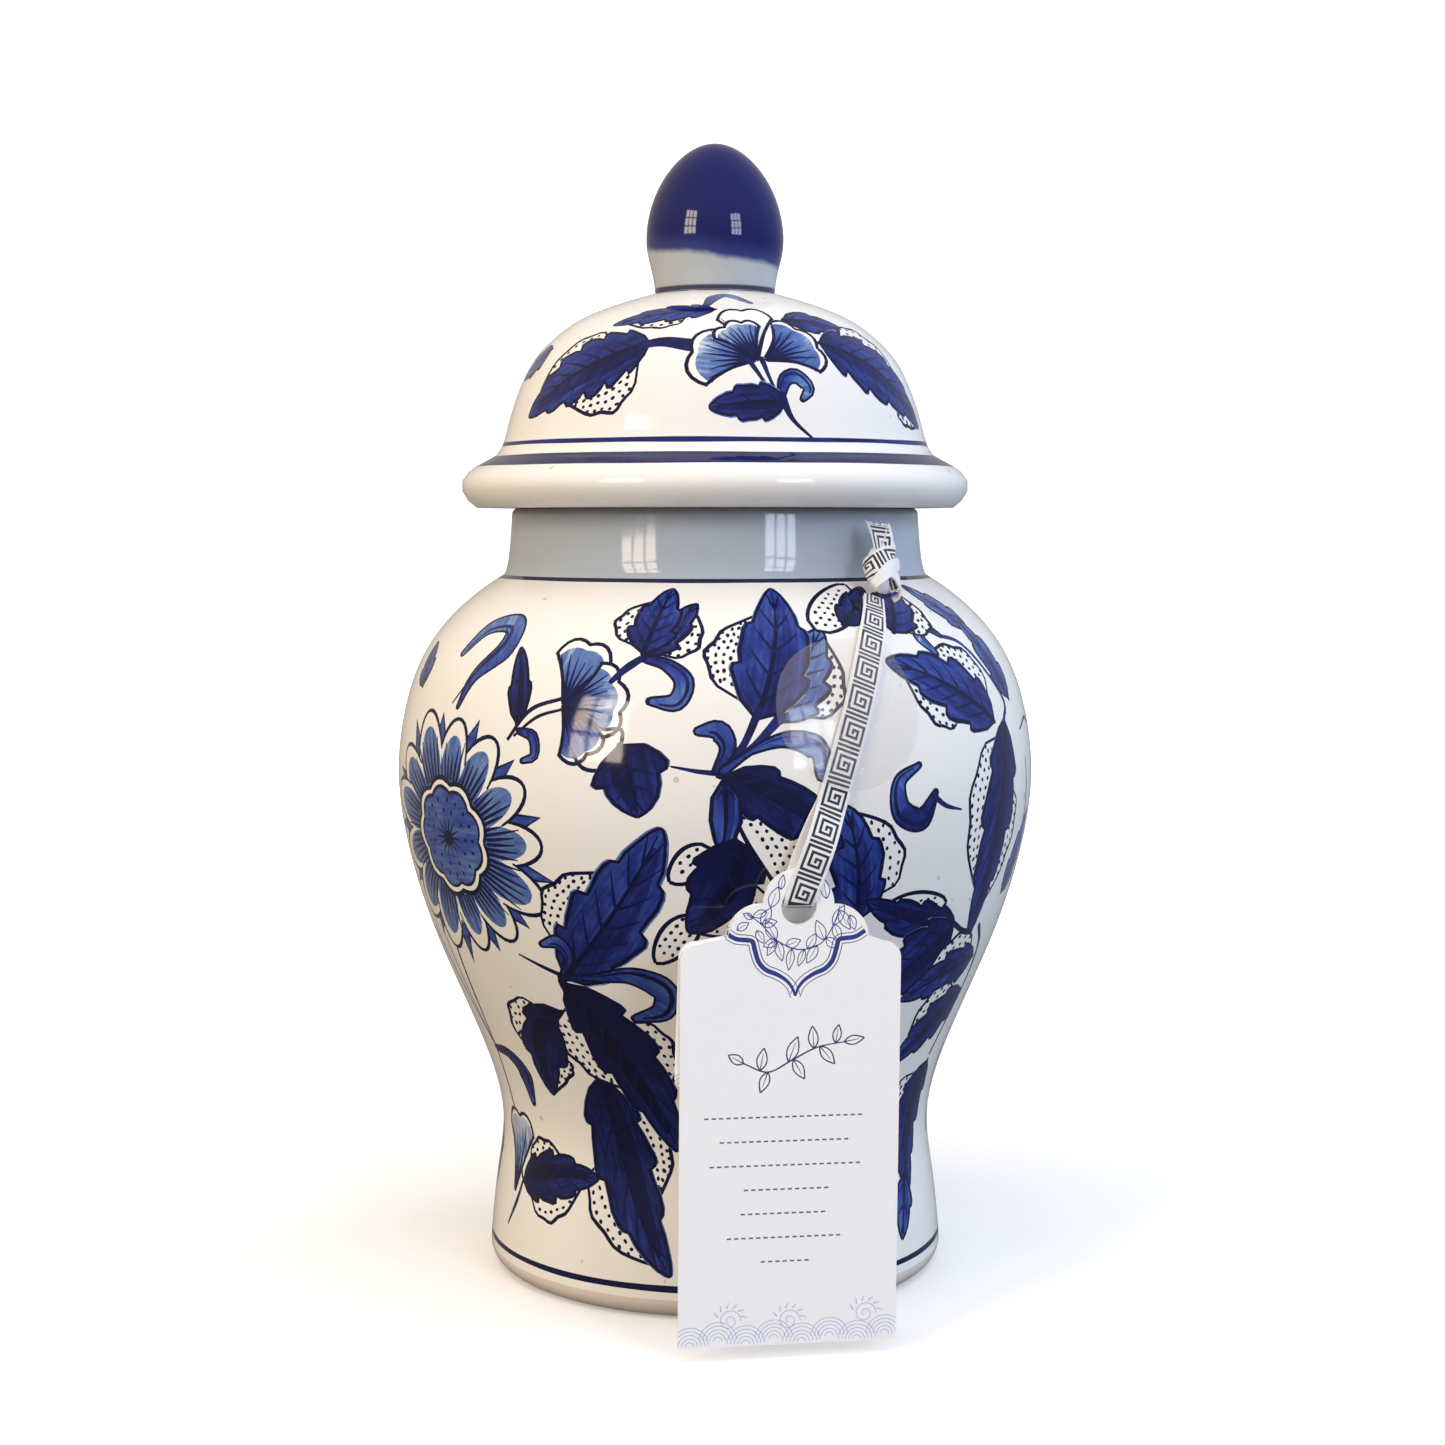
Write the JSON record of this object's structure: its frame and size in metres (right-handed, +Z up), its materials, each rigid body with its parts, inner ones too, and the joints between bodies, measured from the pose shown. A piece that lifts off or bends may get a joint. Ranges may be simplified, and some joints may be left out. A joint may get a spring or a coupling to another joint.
{
  "type": "ginger jar",
  "caption": "Baluster ginger jar in blue and white porcelain, with a domed lid and knob, and a hang tag on a printed ribbon under a clear seal.",
  "frame": {"origin": "centre of the foot ring, in the plane that the jar stands on", "axes": "+Z up along the jar's axis of turning, -Y out of the side with the tag"},
  "size_m": [0.1442, 0.1497, 0.254],
  "materials": {
    "painted_porcelain": "gloss",
    "cobalt_glaze": "gloss",
    "clear_film": "gloss",
    "printed_ribbon": "satin",
    "tag_card": "satin"
  },
  "bodies": {
    "jar": {"jar_body": "painted_porcelain", "clear_seal": "clear_film", "ribbon_front": "printed_ribbon", "ribbon_back": "printed_ribbon", "ribbon_knot": "printed_ribbon"},
    "lid": {"lid": "painted_porcelain", "lid_knob": "cobalt_glaze"},
    "ribbon_drop": {"ribbon_drop": "printed_ribbon"},
    "front_card": {"tag_front": "tag_card"},
    "back_card": {"tag_back": "tag_card"}
  },
  "joints": [
    {"name": "lid_lift", "type": "slide", "parent": "jar", "child": "lid", "axis": [0, 0, 1], "range_m": [0, 0.06]},
    {"name": "tag_lift", "type": "hinge", "parent": "jar", "child": "ribbon_drop", "pos_m": [0.02361, -0.06897, 0.11249], "axis": [-0.9319, -0.3191, 0.1722], "range_deg": [0, 75]},
    {"name": "front_card_swing", "type": "hinge", "parent": "ribbon_drop", "child": "front_card", "pos_m": [0.01699, -0.07333, 0.0926], "axis": [0.165, -0.9863, 0], "range_deg": [-11, 11]},
    {"name": "back_card_swing", "type": "hinge", "parent": "ribbon_drop", "child": "back_card", "pos_m": [0.01685, -0.07254, 0.0926], "axis": [0.165, -0.9863, 0], "range_deg": [-20, 20]}
  ]
}
